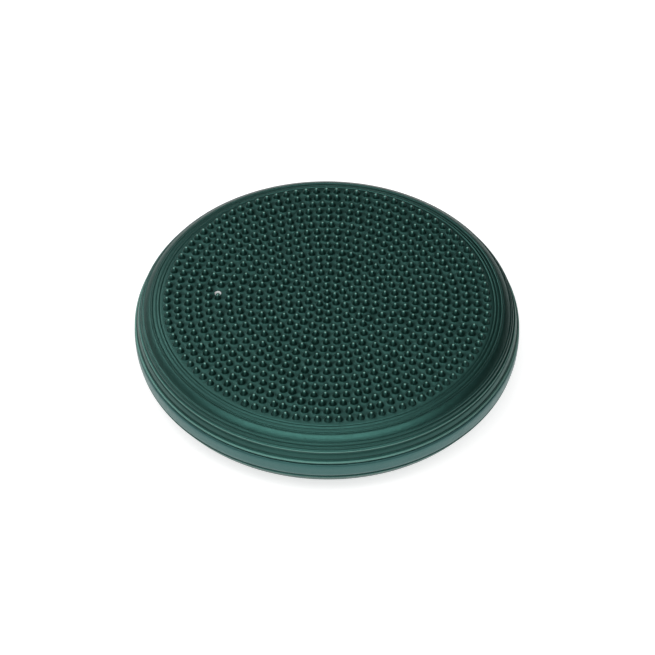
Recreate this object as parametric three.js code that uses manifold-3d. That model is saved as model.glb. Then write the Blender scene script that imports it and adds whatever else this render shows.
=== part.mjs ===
// A round inflatable balance pad in soft moulded PVC, in millimetres.
// z = 0 is the floor, Z is the pad's own axis, and the valve is on the -X side of the top.
// The air skin is one moulding on the real pad. It is cut here at its moulded grooves into the
// zones that keep their shape and the zones that flex, so that each can move as it really does.
import * as THREE from "three";
import { mergeGeometries, mergeVertices } from "three/addons/utils/BufferGeometryUtils.js";
import Module from "manifold-3d";

const wasm = await Module();
wasm.setup();

// Driving dimensions of the skin.
const PAD_RADIUS = 165;
const HALF_HEIGHT = 30.4;
const WALL = 4;
const GAP = 0.3;
const SEGMENTS = 60;

// Heights above (or below) the middle plane where the rim changes, and the radii there.
const BELT = { half: 6.8, flat: 4, round: 2.6, taper: 0.8 };
const FLANK = { bottom: BELT.half + GAP, top: 22.9, footInset: 2.6, headInset: 7.4 };
const PANEL_RADIUS = 149.6;

// The nub field: a nub in the centre, and rings that each hold six more nubs than the last.
const NUB = { rings: 16, perRing: 6, radius: 2.87, height: 4.3, root: 0.5, sides: 5 };
const RING_STEP = 8.12;
const RING_GROWTH = 0.023;
const NUB_WANDER = 0.6;

// The needle valve stands in the nub field, with one nub set close in front of it.
const VALVE = {
  angle: THREE.MathUtils.degToRad(175.3),
  radius: 93.3,
  hole: 3.05,
  sleeve: 2.75,
  sleeveBore: 2.3,
  sleeveTop: -0.2,
  flange: 4.8,
  foot: -15,
  needle: 0.9,
  needleTop: -6,
};
const POCKET = { bore: VALVE.flange + GAP, outside: 9, foot: -13 };
const PLUG = { head: 2, top: -1.8, neck: -5.7, stem: 0.6, foot: -12 };

const topZ = 2 * HALF_HEIGHT;
const valveX = VALVE.radius * Math.cos(VALVE.angle);
const valveY = VALVE.radius * Math.sin(VALVE.angle);

const vinyl = new THREE.MeshStandardMaterial({ color: 0x31514b, roughness: 0.5, metalness: 0 });
const paleRubber = new THREE.MeshStandardMaterial({ color: 0xe9ebe8, roughness: 0.6, metalness: 0 });
const plugVinyl = new THREE.MeshStandardMaterial({ color: 0x24463f, roughness: 0.45, metalness: 0 });

// A solid turned round Z from a closed outline of [radius, height above the middle plane] points,
// which run up the outside and back down the inside.
function turned(outline, segments = SEGMENTS) {
  const closed = [...outline, outline[0]].map(([r, z]) => new THREE.Vector2(r, z));
  return new THREE.LatheGeometry(closed, segments).rotateX(Math.PI / 2);
}

// The same outline below the middle plane, still running up the outside.
function mirrored(outline) {
  return outline.map(([r, z]) => [r, -z]).reverse();
}

function solid(geometry) {
  const bare = geometry.clone();
  bare.deleteAttribute("normal");
  bare.deleteAttribute("uv");
  const merged = mergeVertices(bare, 1e-4);
  return new wasm.Manifold(
    new wasm.Mesh({
      numProp: 3,
      vertProperties: merged.attributes.position.array,
      triVerts: new Uint32Array(merged.index.array),
    }),
  );
}

function geometryOf(manifold) {
  const mesh = manifold.getMesh();
  const geometry = new THREE.BufferGeometry();
  geometry.setAttribute("position", new THREE.BufferAttribute(mesh.vertProperties, 3));
  geometry.setIndex(new THREE.BufferAttribute(mesh.triVerts, 1));
  geometry.computeVertexNormals();
  return geometry;
}

// The belt round the widest line: thick, smooth, and a little narrower at its foot.
function sideBelt() {
  const corner = PAD_RADIUS - BELT.round;
  return turned([
    [corner - WALL, -BELT.half],
    [corner, -BELT.half],
    [PAD_RADIUS - BELT.taper, -BELT.flat],
    [PAD_RADIUS, BELT.flat],
    [corner, BELT.half],
    [corner - WALL, BELT.half],
  ]);
}

// The wall above the belt, with its two beads and the grooves beside them.
function upperFlankOutline() {
  const foot = PAD_RADIUS - FLANK.footInset;
  const head = PAD_RADIUS - FLANK.headInset;
  return [
    [foot - WALL, FLANK.bottom],
    [foot, FLANK.bottom],
    [foot + 1.4, 9.3],
    [foot - 0.2, 11.3],
    [foot - 1.9, 16.8],
    [foot - 1.4, 18.5],
    [foot - 3.3, 20.3],
    [head, FLANK.top],
    [head - WALL, FLANK.top - 2.4],
  ];
}

// The wall below the belt, with one bead. It turns inwards sooner than the wall above.
function lowerFlankOutline() {
  const foot = PAD_RADIUS - FLANK.footInset;
  return mirrored([
    [foot - WALL, FLANK.bottom],
    [foot, FLANK.bottom],
    [foot + 0.9, 8.2],
    [foot - 0.2, 9.8],
    [160.3, 13.6],
    [158.7, 16],
    [155.4, 20.1],
    [152.7, FLANK.top],
    [149.9, FLANK.top - 2.9],
    [156.3, 13],
  ]);
}

// The stiff edge where the wall turns over into the top.
function shoulderRingOutline() {
  return [
    [153.8, 20.9],
    [157.6, 23.25],
    [157, 23.9],
    [156.6, 24.3],
    [155.75, 24.6],
    [152.5, 21.9],
  ];
}

// The smooth sloping band between that edge and the nub panel.
function shoulderWebOutline() {
  return [
    [149.9, 24.5],
    [152.25, 22.2],
    [155.5, 24.8],
    [153.3, 27],
    [149.9, 28.65],
  ];
}

// The outside of the top panel without its nubs, from the axis to the panel's edge.
function panelOutline() {
  return [
    [0, HALF_HEIGHT - WALL],
    [PANEL_RADIUS - 5, HALF_HEIGHT - WALL],
    [PANEL_RADIUS, 24.8],
    [PANEL_RADIUS, HALF_HEIGHT - 1.5],
    [PANEL_RADIUS - 1.2, HALF_HEIGHT - 1],
    [PANEL_RADIUS - 5, HALF_HEIGHT],
    [0, HALF_HEIGHT],
  ];
}

// The underside and the rounded lower shoulder in one shallow tray, which the pad stands on.
function bottomPanelOutline() {
  return mirrored([
    [0, HALF_HEIGHT - WALL],
    [135.5, HALF_HEIGHT - WALL],
    [141, 25.4],
    [146.5, 22.9],
    [149.68, 20.22],
    [152.48, 23.12],
    [150.2, 25],
    [147, 27.1],
    [143.5, 28.8],
    [139.5, 29.9],
    [135, HALF_HEIGHT],
    [0, HALF_HEIGHT],
  ]);
}

// Where each ring starts, as a share of its own nub spacing.
function ringTurn(ring) {
  return (0.66 + 0.056 * ring + 0.858 * ring * ring) % 1;
}

// Every nub's place. Each stands a little off its even spacing, as in a hand-cut mould.
function nubPlaces() {
  const places = [[0, 0]];
  for (let ring = 1; ring <= NUB.rings; ring += 1) {
    const count = NUB.perRing * ring;
    const radius = ring * (RING_STEP + RING_GROWTH * ring);
    for (let i = 0; i < count; i += 1) {
      const wander = NUB_WANDER * Math.sin(7.3 * i + 3.1 * ring * i + ring);
      const angle = (2 * Math.PI * (i + ringTurn(ring))) / count + wander / radius;
      places.push([radius * Math.cos(angle), radius * Math.sin(angle)]);
    }
  }
  const clear = VALVE.hole + NUB.radius + 0.4;
  const front = [valveX, valveY - clear];
  const apart = ([x, y], [toX, toY]) => Math.hypot(x - toX, y - toY) > clear;
  return [front, ...places.filter((at) => apart(at, [valveX, valveY]) && apart(at, front))];
}

function nubs() {
  const height = NUB.height + NUB.root;
  const cone = new THREE.ConeGeometry(NUB.radius, height, NUB.sides).rotateX(Math.PI / 2);
  const z = HALF_HEIGHT - NUB.root + height / 2;
  return mergeGeometries(nubPlaces().map(([x, y]) => cone.clone().translate(x, y, z)));
}

// The flat top with its nubs, and the hole that the valve's sleeve stands in.
function nubPanel() {
  const hole = new THREE.CylinderGeometry(VALVE.hole, VALVE.hole, 3 * WALL, 24);
  hole.rotateX(Math.PI / 2).translate(valveX, valveY, HALF_HEIGHT - WALL);
  const plate = solid(turned(panelOutline()));
  return geometryOf(plate.add(solid(nubs())).subtract(solid(hole)));
}

// The valve's pieces are drawn from the top skin's surface downwards, on the valve's own axis.
function valvePocket() {
  const roof = -WALL - GAP;
  const outline = [
    [POCKET.bore, POCKET.foot],
    [POCKET.outside - 1.5, POCKET.foot],
    [POCKET.outside, roof],
    [POCKET.bore, roof],
  ];
  return turned(outline, 24);
}

function valveCore() {
  const shoulder = -WALL - GAP;
  const outline = [
    [VALVE.needle, VALVE.foot],
    [VALVE.flange, VALVE.foot],
    [VALVE.flange, shoulder],
    [VALVE.sleeve, shoulder],
    [VALVE.sleeve, VALVE.sleeveTop],
    [VALVE.sleeveBore, VALVE.sleeveTop],
    [VALVE.sleeveBore, VALVE.needleTop],
    [VALVE.needle, VALVE.needleTop],
  ];
  return turned(outline, 20);
}

function valvePlug() {
  const outline = [
    [0, PLUG.foot],
    [PLUG.stem, PLUG.foot + 1],
    [PLUG.stem, PLUG.neck],
    [PLUG.head, PLUG.neck],
    [PLUG.head, PLUG.top - 0.4],
    [PLUG.head - 0.4, PLUG.top],
    [0, PLUG.top + 0.2],
  ];
  return turned(outline, 16);
}

function part(name, geometry, material) {
  const mesh = new THREE.Mesh(geometry, material);
  mesh.name = name;
  return mesh;
}

const skin = new THREE.Group();
skin.position.z = HALF_HEIGHT;
skin.add(part("bottom_panel", turned(bottomPanelOutline()), vinyl));
skin.add(part("lower_flank", turned(lowerFlankOutline()), vinyl));
skin.add(part("side_belt", sideBelt(), vinyl));
skin.add(part("upper_flank", turned(upperFlankOutline()), vinyl));
skin.add(part("shoulder_ring", turned(shoulderRingOutline()), vinyl));
skin.add(part("shoulder_web", turned(shoulderWebOutline()), vinyl));
skin.add(part("nub_panel", nubPanel(), vinyl));

const valve = new THREE.Group();
valve.position.set(valveX, valveY, topZ);
valve.add(part("valve_pocket", valvePocket(), vinyl));
valve.add(part("valve_core", valveCore(), paleRubber));
valve.add(part("valve_plug", valvePlug(), plugVinyl));

const pad = new THREE.Group();
pad.add(skin, valve);

export default pad;
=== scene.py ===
"""The looks of a round inflatable balance pad in dark-green moulded PVC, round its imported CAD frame.

Everything is drawn in millimetres in the row frame and turned into metres when a mesh is made.
The skin is one moulding on the real pad. Its pieces meet in its moulded grooves.
"""

import math

import bmesh
import bpy
import numpy as np
from mathutils import Euler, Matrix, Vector
from mathutils.geometry import delaunay_2d_cdt


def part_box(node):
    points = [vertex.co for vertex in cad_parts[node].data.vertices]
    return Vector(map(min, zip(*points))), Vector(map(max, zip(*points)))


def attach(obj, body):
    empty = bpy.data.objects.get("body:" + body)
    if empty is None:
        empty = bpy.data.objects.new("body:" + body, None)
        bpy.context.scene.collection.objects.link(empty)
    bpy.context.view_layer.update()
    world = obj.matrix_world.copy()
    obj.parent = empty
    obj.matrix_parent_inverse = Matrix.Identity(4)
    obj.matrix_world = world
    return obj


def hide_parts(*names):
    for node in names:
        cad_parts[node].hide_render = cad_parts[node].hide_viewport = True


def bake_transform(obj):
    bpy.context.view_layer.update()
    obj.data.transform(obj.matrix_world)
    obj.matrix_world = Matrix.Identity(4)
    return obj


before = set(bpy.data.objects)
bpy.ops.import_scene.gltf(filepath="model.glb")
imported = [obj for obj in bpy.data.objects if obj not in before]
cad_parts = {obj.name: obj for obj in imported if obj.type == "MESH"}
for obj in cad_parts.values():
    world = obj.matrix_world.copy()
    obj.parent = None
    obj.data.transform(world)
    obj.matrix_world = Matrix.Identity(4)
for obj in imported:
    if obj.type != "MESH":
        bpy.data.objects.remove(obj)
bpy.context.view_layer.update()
MM = 0.001


def corners(node):
    """A CAD node's lowest and highest corners, in millimetres."""
    low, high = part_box(node)
    return low / MM, high / MM


# ---------- Sizes, from the frame ----------

belt_low, belt_high = corners("side_belt")
_, panel_high = corners("nub_panel")
core_low, core_high = corners("valve_core")

PAD_RADIUS = belt_high.x
MIDDLE = (belt_low.z + belt_high.z) / 2
NUB_HEIGHT = 4.3
SKIN_TOP = panel_high.z - NUB_HEIGHT
HALF = SKIN_TOP - MIDDLE
FIELD_EDGE = 139.4

# The skin is drawn thinner than in the CAD, and thinnest in the band that flexes most.
SKIN = 2.6
WEB_SKIN = 0.5
# What each side of a seam stands back from it.
SEAM = 0.07
# How many sides a full turn of the rim has.
ROUND = 192
# How deep a groove is when its painted shade is at its darkest, and how high a bead is when its painted
# highlight is full.
FULL_RELIEF = 0.5

# The nub field, as the CAD lays it out.
NUB_RINGS = 16
NUBS_PER_RING = 6
RING_STEP = 8.12
RING_GROWTH = 0.023
NUB_WANDER = 0.6
NUB_RADIUS = 2.87
NUB_SIDES = 16
NUB_SEED = 11
# The nub in front of the valve is crowded by it, so it is slimmer.
FRONT_NUB_WIDTH = 0.9

# The valve, whose middle is the valve core's.
VALVE_X = (core_low.x + core_high.x) / 2
VALVE_Y = (core_low.y + core_high.y) / 2
VALVE_HOLE = 3.05
VALVE_LIP = 3.15
VALVE_SIDES = 32
SLEEVE = 2.75
SLEEVE_BORE = 2.3
FLANGE = 4.8
NEEDLE = 0.9
PLUG_HEAD = 2.0
PLUG_STEM = 0.6

# The top's unevenness: how high its waves are and how deep its dish is.
WAVE_RISE = 0.16
DISH_DEPTH = 0.35


# ---------- Outlines ----------

def smooth_path(points, step=0.2):
    """Points a step apart along a smooth curve through the given [radius, height] points."""
    points = np.array(points, float)
    at = np.concatenate([[0], np.cumsum(np.hypot(*np.diff(points, axis=0).T))])
    slope = np.gradient(points, at, axis=0)
    fine = []
    for i in range(len(points) - 1):
        span = at[i + 1] - at[i]
        t = np.linspace(0, 1, 40, endpoint=False)[:, None]
        fine.append(
            (2 * t**3 - 3 * t**2 + 1) * points[i]
            + (t**3 - 2 * t**2 + t) * span * slope[i]
            + (-2 * t**3 + 3 * t**2) * points[i + 1]
            + (t**3 - t**2) * span * slope[i + 1]
        )
    fine = np.vstack([*fine, points[-1:]])
    run = np.concatenate([[0], np.cumsum(np.hypot(*np.diff(fine, axis=0).T))])
    even = np.linspace(0, run[-1], int(run[-1] / step) + 1)
    return np.stack([np.interp(even, run, fine[:, i]) for i in (0, 1)], axis=1)


def with_relief(path, features):
    """The path with beads and grooves, and each point's painted light: painted shade down to -1 in a
    groove, painted highlight up to 0.9 on a bead.

    A feature is (radius, height, half width, rise) and sits where the path passes nearest.
    """
    run = np.concatenate([[0], np.cumsum(np.hypot(*np.diff(path, axis=0).T))])
    along = np.gradient(path, run, axis=0)
    outward = np.stack([-along[:, 1], along[:, 0]], axis=1)
    outward /= np.linalg.norm(outward, axis=1)[:, None]
    if outward[0, 1] < 0:
        outward = -outward
    rise = np.zeros(len(path))
    for radius, height, half_width, lift in features:
        nearest = run[np.argmin(np.hypot(path[:, 0] - radius, path[:, 1] - height))]
        x = np.clip(abs(run - nearest) / half_width, 0, 1)
        rise += lift * 0.5 * (1 + np.cos(math.pi * x))
    shade = np.clip(rise / FULL_RELIEF, -1, 0.9)
    return np.column_stack([path + outward * rise[:, None], shade])


def thinned(rows, tolerance=0.008, longest=14):
    """The rows without the points that lie nearly on a straight line between their neighbours.

    No more than longest - 1 points in a row are left out.
    """
    keep = np.zeros(len(rows), bool)
    keep[[0, -1]] = True
    spans = [(0, len(rows) - 1)]
    while spans:
        a, b = spans.pop()
        if b - a < 2:
            continue
        chord = rows[b, :2] - rows[a, :2]
        away = rows[a + 1:b, :2] - rows[a, :2]
        off = abs(chord[0] * away[:, 1] - chord[1] * away[:, 0]) / max(np.hypot(*chord), 1e-9)
        worst = int(off.argmax())
        if off[worst] > tolerance or b - a > longest:
            middle = a + 1 + worst if off[worst] > tolerance else (a + b) // 2
            keep[middle] = True
            spans += [(a, middle), (middle, b)]
    return rows[keep]


def between(rows, start, end):
    """The stretch of an outline from near one [radius, height] point to near another, less a seam."""
    near = [np.argmin(np.hypot(rows[:, 0] - r, rows[:, 1] - z)) for r, z in (start, end)]
    part = rows[near[0]:near[1] + 1].copy()
    for i, j in ((0, 1), (-1, -2)):
        step = part[j] - part[i]
        part[i, :2] += SEAM * step[:2] / max(np.hypot(*step[:2]), 1e-9)
    return part


def shell(outer, thickness):
    """A closed outline: the outer points, then the same points set back by the skin's thickness."""
    along = np.gradient(outer[:, :2], axis=0)
    inward = np.stack([along[:, 1], -along[:, 0]], axis=1)
    inward /= np.linalg.norm(inward, axis=1)[:, None]
    back = outer[:, :2] + inward * thickness
    few = np.unique(np.linspace(0, len(back) - 1, 7).astype(int))
    # The inner face gets painted shade.
    inner = np.column_stack([back[few], np.full(len(few), -0.5)])
    return np.vstack([outer, inner[::-1]])


def mirrored(rows):
    """The same outline under the middle plane, still run from the panel to the belt."""
    turned_over = rows.copy()
    turned_over[:, 1] *= -1
    return turned_over


# ---------- Meshes ----------

def mesh_object(name, points, faces, shade=None, crease=50):
    """A smooth-shaded object from points in millimetres. shade is each point's painted light, -1 to 1:
    painted shade below 0, painted highlight above 0.
    """
    mesh = bpy.data.meshes.new(name)
    mesh.from_pydata((np.asarray(points, float) * MM).tolist(), [], faces)
    mesh.validate()
    if shade is not None:
        # The per-point painted shade and painted highlight, which the vinyl material reads.
        painted_shade_and_highlight = mesh.attributes.new("painted_shade_and_highlight", "FLOAT", "POINT")
        painted_shade_and_highlight.data.foreach_set("value", np.asarray(shade, np.float32))
    mesh.shade_smooth()
    mesh.set_sharp_from_angle(angle=math.radians(crease))
    mesh.update()
    made = bpy.data.objects.new(name, mesh)
    bpy.context.scene.collection.objects.link(made)
    return made


def turned(name, outline, sides=ROUND, centre=(0, 0), lift=0.0, crease=50):
    """A closed outline of [radius, height, painted light] rows, turned round Z. The third column is
    painted shade below 0 and painted highlight above 0.
    """
    rows = np.asarray(outline, float)
    angle = np.arange(sides) * 2 * math.pi / sides
    x = rows[:, 0][:, None] * np.cos(angle) + centre[0]
    y = rows[:, 0][:, None] * np.sin(angle) + centre[1]
    z = np.repeat(rows[:, 1][:, None] + lift, sides, axis=1)
    points = np.stack([x, y, z], axis=2).reshape(-1, 3)
    count = len(rows)
    faces = []
    for i in range(count):
        j = (i + 1) % count
        for k in range(sides):
            m = (k + 1) % sides
            faces.append((i * sides + k, j * sides + k, j * sides + m, i * sides + m))
    shade = np.repeat(rows[:, 2], sides)
    return outward_facing(mesh_object(name, points, faces, shade, crease))


def outward_facing(obj):
    """Turns every face of a closed mesh outwards."""
    bm = bmesh.new()
    bm.from_mesh(obj.data)
    bmesh.ops.recalc_face_normals(bm, faces=bm.faces)
    bm.to_mesh(obj.data)
    bm.free()
    return obj


# ---------- The rim's outlines ----------

# Radius and height above the middle plane, from the nub panel's margin down to the belt.
UPPER_PATH = [
    (FIELD_EDGE, HALF),
    (143.5, 30.15),
    (146.6, 29.65),
    (149.65, 28.85),
    (152.4, 27.4),
    (154.6, 25.7),
    (156.1, 24.2),
    (157.4, 22.85),
    (158.2, 21.4),
    (158.9, 19.9),
    (159.7, 18.2),
    (160.5, 16.4),
    (161.2, 14.5),
    (161.8, 12.4),
    (162.2, 10.9),
    (162.6, 9.1),
    (162.8, 7.1),
]
PANEL_SEAM = (149.65, 28.85)
WEB_SEAM = (155.6, 24.7)
RING_SEAM = (157.4, 22.85)
UPPER_FEATURES = [
    (141.8, 30.4, 0.6, -0.28),
    (143.1, 30.2, 0.9, 0.22),
    (144.6, 30.0, 0.6, -0.28),
    (147.8, 29.4, 0.55, -0.3),
    (148.7, 29.1, 0.8, 0.28),
    (*PANEL_SEAM, 0.6, -0.35),
    (*WEB_SEAM, 0.5, -0.25),
    (156.3, 23.9, 0.8, 0.43),
    (*RING_SEAM, 0.7, -0.5),
    (158.0, 21.8, 1.2, 0.3),
    (158.9, 19.9, 0.8, -0.35),
    (159.6, 18.4, 1.1, 0.95),
    (160.4, 16.8, 0.8, -0.35),
    (161.9, 11.9, 1.0, -0.5),
    (162.5, 9.3, 1.3, 1.5),
    (162.8, 7.4, 0.6, -0.2),
]
upper_rim = with_relief(smooth_path(UPPER_PATH), UPPER_FEATURES)
panel_edge = thinned(between(upper_rim, (FIELD_EDGE, HALF), PANEL_SEAM))
web_rows = thinned(between(upper_rim, PANEL_SEAM, WEB_SEAM))
ring_rows = thinned(between(upper_rim, WEB_SEAM, RING_SEAM))
upper_rows = thinned(between(upper_rim, RING_SEAM, UPPER_PATH[-1]))

# Radius and depth below the middle plane, from the underside up to the belt.
LOWER_PATH = [
    (135, HALF),
    (139.5, 29.9),
    (143.5, 28.8),
    (147, 27.1),
    (150.2, 25),
    (152.6, 23),
    (155.4, 20.1),
    (157.2, 18),
    (158.7, 16),
    (160.3, 13.6),
    (161.5, 11.4),
    (162.3, 9.6),
    (162.7, 8.3),
    (162.8, 7.1),
]
LOWER_SEAM = (152.6, 23)
LOWER_FEATURES = [
    (141.5, 29.4, 0.6, -0.3),
    (148.5, 26.2, 0.6, -0.3),
    (*LOWER_SEAM, 0.6, -0.4),
    (158.0, 17.0, 1.2, 0.25),
    (160.0, 14.0, 0.8, -0.3),
    (162.2, 9.9, 0.7, -0.4),
    (162.7, 8.3, 1.0, 0.6),
]
lower_rim = with_relief(smooth_path(LOWER_PATH), LOWER_FEATURES)
base_edge = thinned(between(lower_rim, LOWER_PATH[0], LOWER_SEAM))
lower_rows = thinned(between(lower_rim, LOWER_SEAM, LOWER_PATH[-1]))

# The belt's radius and height above the middle plane, from its top to its foot.
BELT_HALF = belt_high.z - MIDDLE
BELT_PATH = [
    (PAD_RADIUS - 2.6, BELT_HALF - SEAM),
    (PAD_RADIUS - 1.6, BELT_HALF - 0.3),
    (PAD_RADIUS - 0.9, 5.7),
    (PAD_RADIUS - 0.6, 4.4),
    (PAD_RADIUS - 0.5, 2.8),
    (PAD_RADIUS - 0.6, 0.3),
    (PAD_RADIUS - 0.7, -2.4),
    (PAD_RADIUS - 1, -4.6),
    (PAD_RADIUS - 1.6, -6),
    (PAD_RADIUS - 2.5, SEAM - BELT_HALF),
]


def belt_outline():
    """The belt: faintly crowned, with a round corner above and below, and a little tapered."""
    rows = smooth_path(BELT_PATH)
    return thinned(np.column_stack([rows, np.zeros(len(rows))]))


# ---------- The nub panel ----------

def nub_places():
    """Every nub's [x, y], by the CAD's own rule, the one in front of the valve first."""
    places = [(0.0, 0.0)]
    for ring in range(1, NUB_RINGS + 1):
        count = NUBS_PER_RING * ring
        radius = ring * (RING_STEP + RING_GROWTH * ring)
        turn = (0.66 + 0.056 * ring + 0.858 * ring * ring) % 1
        for i in range(count):
            wander = NUB_WANDER * math.sin(7.3 * i + 3.1 * ring * i + ring)
            angle = 2 * math.pi * (i + turn) / count + wander / radius
            places.append((radius * math.cos(angle), radius * math.sin(angle)))
    clear = VALVE_HOLE + NUB_RADIUS + 0.4
    valve = (VALVE_X, VALVE_Y)
    front = (VALVE_X, VALVE_Y - clear)
    return [front, *(p for p in places if math.dist(p, valve) > clear and math.dist(p, front) > clear)]


# A nub's outline: [radius, height, painted light], from its fillet up to just short of its tip. The
# third column is painted shade round the foot and painted highlight towards the tip.
NUB_OUTLINE = np.array([
    (3.5, 0, -0.5),
    (3.22, 0.1, -0.9),
    (3.05, 0.4, -0.8),
    (2.82, 1.1, -0.4),
    (2.46, 2.0, 0),
    (1.94, 2.9, 0.2),
    (1.3, 3.65, 0.6),
    (0.7, 4.1, 0.94),
])
# The valve hole's lip and wall: [radius, height, painted light]; the wall gets painted shade below the
# lip.
HOLE_OUTLINE = np.array([
    (VALVE_LIP, 0, 0),
    (VALVE_HOLE + 0.1, -0.12, 0.1),
    (VALVE_HOLE, -0.4, -0.2),
])


def circle(x, y, radius, sides):
    angle = np.arange(sides) * 2 * math.pi / sides
    return np.column_stack([x + radius * np.cos(angle), y + radius * np.sin(angle)])


def plane_between(loops):
    """Triangles that fill the first loop less the others. Returns their corners as point numbers."""
    flat = np.vstack(loops)
    owner = np.repeat(np.arange(len(loops)), [len(loop) for loop in loops])
    edges = []
    start = 0
    for loop in loops:
        edges += [(start + i, start + (i + 1) % len(loop)) for i in range(len(loop))]
        start += len(loop)
    out = delaunay_2d_cdt([Vector(p) for p in flat.tolist()], edges, [], 0, 1e-6)
    source = [ids[0] for ids in out[3]]
    faces = [[source[v] for v in face] for face in out[2]]
    return [f for f in faces if not (owner[f[0]] == owner[f[1]] == owner[f[2]] and owner[f[0]] > 0)]


def nub_panel():
    """The flat top with its nubs, the valve's hole and the beaded margin, as one closed skin."""
    draw = np.random.default_rng(NUB_SEED)
    places = nub_places()
    loops = [circle(0, 0, FIELD_EDGE, ROUND)]
    widths = [FRONT_NUB_WIDTH] + [1] * (len(places) - 1)
    for (x, y), width in zip(places, widths):
        loops.append(circle(x, y, NUB_OUTLINE[0, 0] * width, NUB_SIDES))
    loops.append(circle(VALVE_X, VALVE_Y, VALVE_LIP, VALVE_SIDES))
    faces = plane_between(loops)
    flat = np.vstack(loops)
    points = [np.column_stack([flat, np.zeros(len(flat))])]
    shade = [np.zeros(len(flat))]
    count = len(flat)

    def add_rows(first, sides, x, y, rows):
        """Rings of points over or under a loop, joined to it. Returns the last ring's first point."""
        nonlocal count
        below = first
        for radius, height, painted_shade_and_highlight in rows:
            ring = circle(x, y, radius, sides)
            points.append(np.column_stack([ring, np.full(sides, height)]))
            shade.append(np.full(sides, painted_shade_and_highlight))
            for k in range(sides):
                m = (k + 1) % sides
                faces.append((below + k, below + m, count + m, count + k))
            below = count
            count += sides
        return below

    start = ROUND
    for (x, y), width in zip(places, widths):
        grow = 1 + 0.03 * draw.standard_normal()
        rows = NUB_OUTLINE[1:] * [grow * width, min(grow, 1), 1]
        shade[0][start:start + NUB_SIDES] = NUB_OUTLINE[0, 2]
        last = add_rows(start, NUB_SIDES, x, y, rows)
        # The tip point gets the full painted highlight.
        points.append(np.array([[x, y, NUB_HEIGHT * min(grow, 1)]]))
        shade.append(np.array([1.0]))
        for k in range(NUB_SIDES):
            faces.append((last + k, last + (k + 1) % NUB_SIDES, count))
        count += 1
        start += NUB_SIDES

    # The hole's foot gets painted shade.
    hole_rows = np.vstack([HOLE_OUTLINE[1:], [(VALVE_HOLE, -SKIN, -0.5)]])
    hole_foot = add_rows(start, VALVE_SIDES, VALVE_X, VALVE_Y, hole_rows)

    edge = panel_edge[1:].copy()
    edge[:, 1] -= HALF
    last_r, last_z = edge[-1, :2]
    # The margin's turned-under edge gets full painted shade.
    under = [(last_r - 0.25, last_z - 0.9, -1), (last_r - 0.6, -SKIN - 0.9, -1)]
    edge_foot = add_rows(0, ROUND, 0, 0, np.vstack([edge, under]))

    under_loops = [
        np.vstack(points)[edge_foot:edge_foot + ROUND, :2],
        np.vstack(points)[hole_foot:hole_foot + VALVE_SIDES, :2],
    ]
    for face in plane_between(under_loops):
        joined = [edge_foot + v if v < ROUND else hole_foot + v - ROUND for v in face]
        faces.append(tuple(reversed(joined)))

    all_points = np.vstack(points)
    all_points[:, 2] += SKIN_TOP + unevenness(all_points[:, 0], all_points[:, 1])
    return outward_facing(mesh_object("nub_panel_skin", all_points, faces, np.concatenate(shade)))


def unevenness(x, y):
    """How far the taut skin stands off its plane: a faint dish and long low waves, zero at its edge."""
    share = np.clip(np.hypot(x, y) / FIELD_EDGE, 0, 1)
    fade = (1 - share**4).clip(0, 1)
    waves = WAVE_RISE * np.sin(x / 23 + 1.3 * np.sin(y / 31)) * np.cos(y / 27 + 0.7)
    return fade * (waves - DISH_DEPTH * (1 - share**2))


# ---------- The underside ----------

# The middle radius of each grip groove, and its shape.
GRIP_GROOVES = range(20, 134, 8)
GROOVE_MOUTH = 0.9
GROOVE_FLOOR = 0.45
GROOVE_DEPTH = 0.55


def bottom_outline():
    """The flat underside with its grip grooves, and the lower shoulder up to the flank's seam."""
    rows = [(0.0, HALF, 0.0)]
    for radius in GRIP_GROOVES:
        # Each groove's floor gets painted shade.
        rows += [
            (radius - GROOVE_MOUTH, HALF, 0.0),
            (radius - GROOVE_FLOOR, HALF - GROOVE_DEPTH, -0.7),
            (radius + GROOVE_FLOOR, HALF - GROOVE_DEPTH, -0.7),
            (radius + GROOVE_MOUTH, HALF, 0.0),
        ]
    return np.vstack([rows, base_edge])


def bottom_panel():
    """The underside as a closed tray: its outside from the axis to the seam, then a plain inside."""
    outer = bottom_outline()
    # The inside gets full painted shade.
    inside = [
        (outer[-1, 0] - 1.8, outer[-1, 1] - 1.8, -1),
        (146.5, 24.8, -1),
        (141, HALF - SKIN - 0.6, -1),
        (135, HALF - SKIN, -1),
        (0, HALF - SKIN, -1),
    ]
    rows = mirrored(np.vstack([outer, inside]))
    rings = rows[1:-1]
    angle = np.arange(ROUND) * 2 * math.pi / ROUND
    points = [(0, 0, rows[0, 1])]
    for r, z, _ in rings:
        points += [(r * math.cos(a), r * math.sin(a), z) for a in angle]
    points.append((0, 0, rows[-1, 1]))
    points = np.array(points)
    points[:, 2] += MIDDLE
    last = len(points) - 1
    faces = [(0, 1 + (k + 1) % ROUND, 1 + k) for k in range(ROUND)]
    for i in range(len(rings) - 1):
        a = 1 + i * ROUND
        b = a + ROUND
        for k in range(ROUND):
            m = (k + 1) % ROUND
            faces.append((a + k, a + m, b + m, b + k))
    end = 1 + (len(rings) - 1) * ROUND
    faces += [(last, end + k, end + (k + 1) % ROUND) for k in range(ROUND)]
    shade = np.concatenate([[0], np.repeat(rings[:, 2], ROUND), [-1]])
    return outward_facing(mesh_object("bottom_panel_skin", points, faces, shade))


# ---------- Materials ----------

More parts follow.
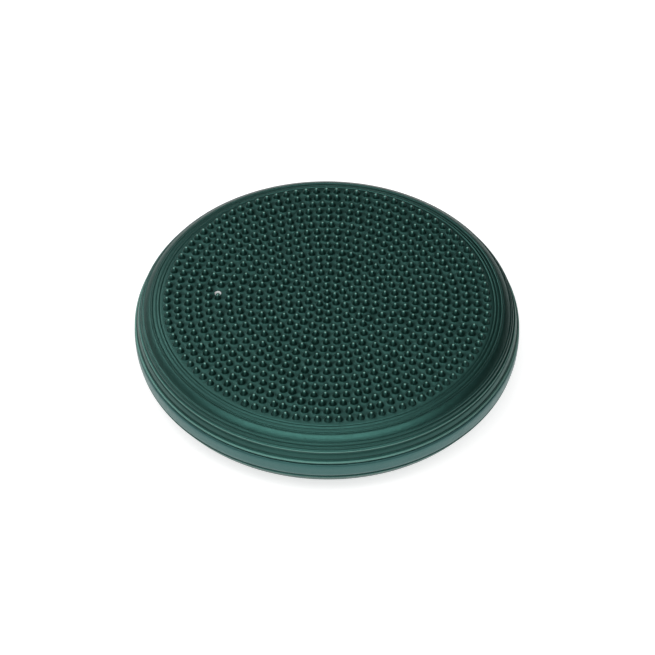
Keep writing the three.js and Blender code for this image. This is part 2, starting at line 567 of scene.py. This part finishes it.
class Nodes:
    """A node material, built with short calls."""

    def __init__(self, name):
        self.material = bpy.data.materials.new(name)
        self.material.use_nodes = True
        self.tree = self.material.node_tree
        self.shader = self.tree.nodes["Principled BSDF"]

    def add(self, kind, **inputs):
        node = self.tree.nodes.new(kind)
        for name, value in inputs.items():
            self.put(value, node.inputs[name.replace("_", " ")])
        return node

    def put(self, value, socket):
        if isinstance(value, bpy.types.NodeSocket):
            self.tree.links.new(value, socket)
        else:
            socket.default_value = value

    def product(self, a, b):
        node = self.tree.nodes.new("ShaderNodeMath")
        node.operation = "MULTIPLY"
        self.put(a, node.inputs[0])
        self.put(b, node.inputs[1])
        return node.outputs[0]

    def ramp(self, value, low, high, to_low, to_high):
        node = self.tree.nodes.new("ShaderNodeMapRange")
        for name, v in (
            ("Value", value), ("From Min", low), ("From Max", high),
            ("To Min", to_low), ("To Max", to_high),
        ):
            self.put(v, node.inputs[name])
        return node.outputs[0]

    def mix(self, share, a, b):
        node = self.tree.nodes.new("ShaderNodeMix")
        node.data_type = "RGBA"
        self.put(share, node.inputs[0])
        self.put(a, node.inputs[6])
        self.put(b, node.inputs[7])
        return node.outputs[2]

    def place(self):
        return self.tree.nodes.new("ShaderNodeTexCoord").outputs["Object"]

    def noise(self, scale, detail=2.0, rough=0.5):
        return self.add(
            "ShaderNodeTexNoise", Vector=self.place(), Scale=scale, Detail=detail, Roughness=rough
        ).outputs["Fac"]

    def bump(self, height, strength, distance, under=None):
        node = self.add("ShaderNodeBump", Height=height, Strength=strength, Distance=distance)
        if under is not None:
            self.put(under, node.inputs["Normal"])
        return node.outputs["Normal"]


# The vinyl's own colour is dark, and its gloss is tinted green.
# Painted shade: the colour put into grooves, hollows and round each nub's foot.
PAINTED_SHADE_GREEN = (0.0005, 0.002, 0.0015, 1)
GREEN = (0.002, 0.008, 0.0065, 1)
# Painted light: the belt is the same vinyl, given a lighter, bluer colour for the front light and floor
# glow that it catches.
BELT_PAINTED_LIGHT_GREEN = (0.034, 0.075, 0.078, 1)
# The pale flecks of the grain, and also the painted highlight on raised beads and crests.
GRAIN_AND_PAINTED_HIGHLIGHT_GREEN = (0.012, 0.035, 0.03, 1)
# Painted highlight: the pale colour of the nub tips and the highest bead crests.
PAINTED_TIP_HIGHLIGHT = (0.25, 0.46, 0.4, 1)
SHEEN = (0.34, 1.0, 0.87, 1)


def vinyl(name, base=GREEN, stripes=False):
    """Satin soft PVC: a fine moulded grain and cloudy colour, with painted shade in its grooves and
    hollows and painted highlight on its bead crests and nub tips.

    The noise scales are per metre. The bump distances are in metres.
    """
    n = Nodes(name)
    painted_shade_and_highlight = n.tree.nodes.new("ShaderNodeAttribute")
    painted_shade_and_highlight.attribute_name = "painted_shade_and_highlight"
    # height here is the per-point painted shade (below 0) and painted highlight (above 0), not a real
    # height.
    height = painted_shade_and_highlight.outputs["Fac"]
    clouds = n.noise(38, 3)
    speckle = n.noise(1500, 2, 0.6)
    scuffs = n.noise(210, 5, 0.65)
    duller = tuple(0.8 * c for c in base[:3]) + (1,)
    cloudy = n.mix(n.ramp(clouds, 0.3, 0.7, 0, 0.55), base, duller)
    grainy = n.mix(n.ramp(speckle, 0.4, 0.7, 0, 0.2), cloudy, GRAIN_AND_PAINTED_HIGHLIGHT_GREEN)
    # Painted shade: darker where the per-point value falls below 0, in grooves, hollows and round the
    # nubs' feet.
    painted_groove_shade = n.mix(n.ramp(height, 0, -0.8, 0, 0.75), grainy, PAINTED_SHADE_GREEN)
    # Painted highlight: raised beads and crests are made paler, in patches set by a noise.
    painted_crest_highlight = n.product(n.ramp(height, 0.35, 1, 0, 0.5), n.ramp(scuffs, 0.35, 0.6, 0.5, 1))
    edges = n.mix(painted_crest_highlight, painted_groove_shade, GRAIN_AND_PAINTED_HIGHLIGHT_GREEN)
    # Painted highlight: the nub tips and highest crests turn pale where the per-point value passes 0.84.
    n.put(n.mix(n.ramp(height, 0.84, 1.0, 0, 1), edges, PAINTED_TIP_HIGHLIGHT), n.shader.inputs["Base Color"])
    n.put(n.ramp(scuffs, 0.3, 0.7, 0.36, 0.46), n.shader.inputs["Roughness"])
    n.shader.inputs["Specular IOR Level"].default_value = 1.0
    n.shader.inputs["Specular Tint"].default_value = SHEEN
    coarse = n.bump(n.noise(420, 3, 0.6), 0.4, 0.0004)
    normal = n.bump(speckle, 0.6, 0.00015, coarse)
    if stripes:
        lines = n.add("ShaderNodeTexWave", Vector=n.place(), Scale=190.0, Distortion=1.2, Detail=2.0)
        lines.wave_type = "BANDS"
        lines.bands_direction = "Z"
        n.put(0.4, lines.inputs["Detail Scale"])
        normal = n.bump(lines.outputs["Fac"], 0.18, 0.0002, normal)
    n.put(normal, n.shader.inputs["Normal"])
    return n.material


def pale_rubber():
    """The valve core: matte off-white rubber, a little cloudy."""
    n = Nodes("pale_valve_rubber")
    stain = n.noise(900, 3)
    n.put(n.mix(n.ramp(stain, 0.4, 0.7, 0, 0.5), (0.98, 1.0, 0.99, 1), (0.92, 0.94, 0.92, 1)),
          n.shader.inputs["Base Color"])
    n.put(n.ramp(stain, 0.3, 0.7, 0.5, 0.62), n.shader.inputs["Roughness"])
    n.put(n.bump(n.noise(2500, 2), 0.2, 0.0001), n.shader.inputs["Normal"])
    return n.material


# ---------- The valve's shown pieces ----------

def valve_core():
    """The needle valve: a pale sleeve just inside its hole, with a countersunk mouth and a flange."""
    outline = [
        (NEEDLE, core_low.z, -1),
        (FLANGE - 0.5, core_low.z, 0),
        (FLANGE, core_low.z + 0.5, 0),
        (FLANGE, SKIN_TOP - 4.8, 0),
        (FLANGE - 0.5, SKIN_TOP - 4.35, 0),
        (SLEEVE, SKIN_TOP - 4.3, -0.5),
        (SLEEVE, SKIN_TOP - 0.5, 0),
        (SLEEVE - 0.05, SKIN_TOP - 0.38, 0.5),
        (SLEEVE - 0.13, SKIN_TOP - 0.38, 1),
        (SLEEVE_BORE, SKIN_TOP - 1.1, 0),
        (SLEEVE_BORE, SKIN_TOP - 6, -0.5),
        (NEEDLE, SKIN_TOP - 6, -1),
    ]
    return turned("valve_core_rubber", outline, 40, (VALVE_X, VALVE_Y), crease=35)


def valve_plug():
    """The stopper: a domed head with a dimple to pull it by, and a thin stem."""
    head_top = SKIN_TOP - 1.9
    # The third column is painted shade in the dimple and under the head, and painted highlight on the
    # head's rim.
    outline = [
        (0.05, SKIN_TOP - 12, 0),
        (PLUG_STEM - 0.15, SKIN_TOP - 11.6, 0),
        (PLUG_STEM, SKIN_TOP - 11, 0),
        (PLUG_STEM, SKIN_TOP - 5.75, -0.5),
        (PLUG_HEAD - 0.2, SKIN_TOP - 5.7, 0),
        (PLUG_HEAD, SKIN_TOP - 5.5, 0),
        (PLUG_HEAD, head_top - 0.5, 0),
        (PLUG_HEAD - 0.1, head_top - 0.2, 0.4),
        (PLUG_HEAD - 0.4, head_top, 0.7),
        (1.0, head_top, 0.3),
        (0.7, head_top - 0.3, -0.6),
        (0.05, head_top - 0.35, -0.8),
    ]
    return turned("valve_plug_stopper", outline, 32, (VALVE_X, VALVE_Y), crease=60)


def valve_pocket():
    """The collar moulded under the top skin, which grips the valve core."""
    low, high = corners("valve_pocket")
    bore = FLANGE + 0.3
    outside = (high.x - low.x) / 2
    outline = [
        (bore, low.z, 0),
        (outside - 1.9, low.z, 0),
        (outside - 1.4, low.z + 0.5, 0),
        (outside - 0.3, high.z - 1.2, 0),
        (outside, high.z, 0),
        (bore, high.z, 0),
    ]
    return turned("valve_pocket_collar", outline, 40, (VALVE_X, VALVE_Y), crease=35)


# ---------- The pad ----------

skin_vinyl = vinyl("green_vinyl")
belt_vinyl = vinyl("green_vinyl_belt_painted_light", BELT_PAINTED_LIGHT_GREEN, stripes=True)
plug_vinyl = vinyl("green_vinyl_plug")
core_rubber = pale_rubber()


def finished(obj, material, node):
    """Gives a piece its material and hides the CAD node it stands for."""
    obj.data.materials.append(material)
    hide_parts(node)
    return obj


top = finished(nub_panel(), skin_vinyl, "nub_panel")
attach(top, "top")

web = turned("shoulder_web_skin", shell(web_rows, WEB_SKIN), lift=MIDDLE)
finished(web, skin_vinyl, "shoulder_web")
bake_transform(web)

edge_ring = turned("shoulder_ring_skin", shell(ring_rows, SKIN), lift=MIDDLE)
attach(finished(edge_ring, skin_vinyl, "shoulder_ring"), "rim")

upper = turned("upper_flank_skin", shell(upper_rows, SKIN), lift=MIDDLE)
finished(upper, skin_vinyl, "upper_flank")
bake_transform(upper)

belt = turned("side_belt_skin", shell(belt_outline(), SKIN), lift=MIDDLE)
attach(finished(belt, belt_vinyl, "side_belt"), "belt")

lower = turned("lower_flank_skin", mirrored(shell(lower_rows, SKIN)), lift=MIDDLE)
finished(lower, skin_vinyl, "lower_flank")
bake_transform(lower)

base = finished(bottom_panel(), skin_vinyl, "bottom_panel")
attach(base, "base")

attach(finished(valve_pocket(), skin_vinyl, "valve_pocket"), "top")
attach(finished(valve_core(), core_rubber, "valve_core"), "top")
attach(finished(valve_plug(), plug_vinyl, "valve_plug"), "plug")


# ---------- Studio ----------

FLOOR_HALF = 60000


def floor():
    """A wide plain floor. It glows a little, so that it is white with only a faint shadow."""
    n = Nodes("pale_floor")
    n.put(n.mix(n.noise(3, 2), (0.5, 0.5, 0.5, 1), (0.52, 0.52, 0.52, 1)), n.shader.inputs["Base Color"])
    n.shader.inputs["Roughness"].default_value = 0.9
    n.shader.inputs["Emission Color"].default_value = (1, 1, 1, 1)
    n.shader.inputs["Emission Strength"].default_value = 0.74
    n.shader.inputs["Specular IOR Level"].default_value = 0.1
    far = FLOOR_HALF
    points = [(-far, -far, 0), (far, -far, 0), (far, far, 0), (-far, far, 0)]
    made = mesh_object("studio_floor", points, [(0, 1, 2, 3)])
    made.data.materials.append(n.material)


def softbox(name, place, size, power):
    """A white area light of a size and at a place in metres, turned to the pad."""
    light = bpy.data.lights.new(name, "AREA")
    light.shape = "RECTANGLE"
    light.size, light.size_y = size
    light.energy = power
    made = bpy.data.objects.new(name, light)
    made.location = place
    aim = Vector((0, 0, MIDDLE * MM)) - Vector(place)
    made.rotation_euler = aim.to_track_quat("-Z", "Y").to_euler()
    bpy.context.scene.collection.objects.link(made)


def sky(level):
    """A dim grey surrounding, so that the shadows aren't black."""
    world = bpy.data.worlds.new("studio")
    world.use_nodes = True
    world.node_tree.nodes["Background"].inputs["Color"].default_value = (level, level, level, 1)
    bpy.context.scene.world = world


# Degrees, metres, and the lens and the film's width in millimetres.
CAMERA_ELEVATION = 45.2
CAMERA_DISTANCE = 1.85
CAMERA_LENS = 120.1
FILM_WIDTH = 36
CAMERA_ROLL = 0.5
# The camera aims a little below the pad's middle and a touch to its right.
AIM_DOWN = 0.81
AIM_RIGHT = 0.02


def camera():
    """The camera, in front of the pad and looking down at it."""
    lens = bpy.data.cameras.new("camera")
    lens.lens = CAMERA_LENS
    lens.sensor_width = FILM_WIDTH
    made = bpy.data.objects.new("camera", lens)
    lift = math.radians(CAMERA_ELEVATION)
    made.location = (
        0,
        -CAMERA_DISTANCE * math.cos(lift),
        panel_high.z * MM + CAMERA_DISTANCE * math.sin(lift),
    )
    down = math.radians(90 - CAMERA_ELEVATION - AIM_DOWN)
    tilt = Euler((down, 0, -math.radians(AIM_RIGHT))).to_matrix()
    roll = Euler((0, 0, math.radians(CAMERA_ROLL))).to_matrix()
    made.rotation_euler = (tilt @ roll).to_euler()
    bpy.context.scene.collection.objects.link(made)
    bpy.context.scene.camera = made


floor()
sky(0.015)
softbox("front_light", (-0.1, -0.78, 2.05), (3.0, 1.1), 44)
softbox("back_left_light", (-1.19, 1.19, 1.41), (1, 1), 11.5)
softbox("back_light", (0, 0.93, 2.0), (1, 1), 6.5)
softbox("left_light", (-2.1, 0, 0.57), (1, 1), 1.5)
softbox("low_front_light", (-0.5, -2.1, 0.57), (1, 1), 5)
camera()
bpy.context.scene.view_settings.view_transform = "Standard"
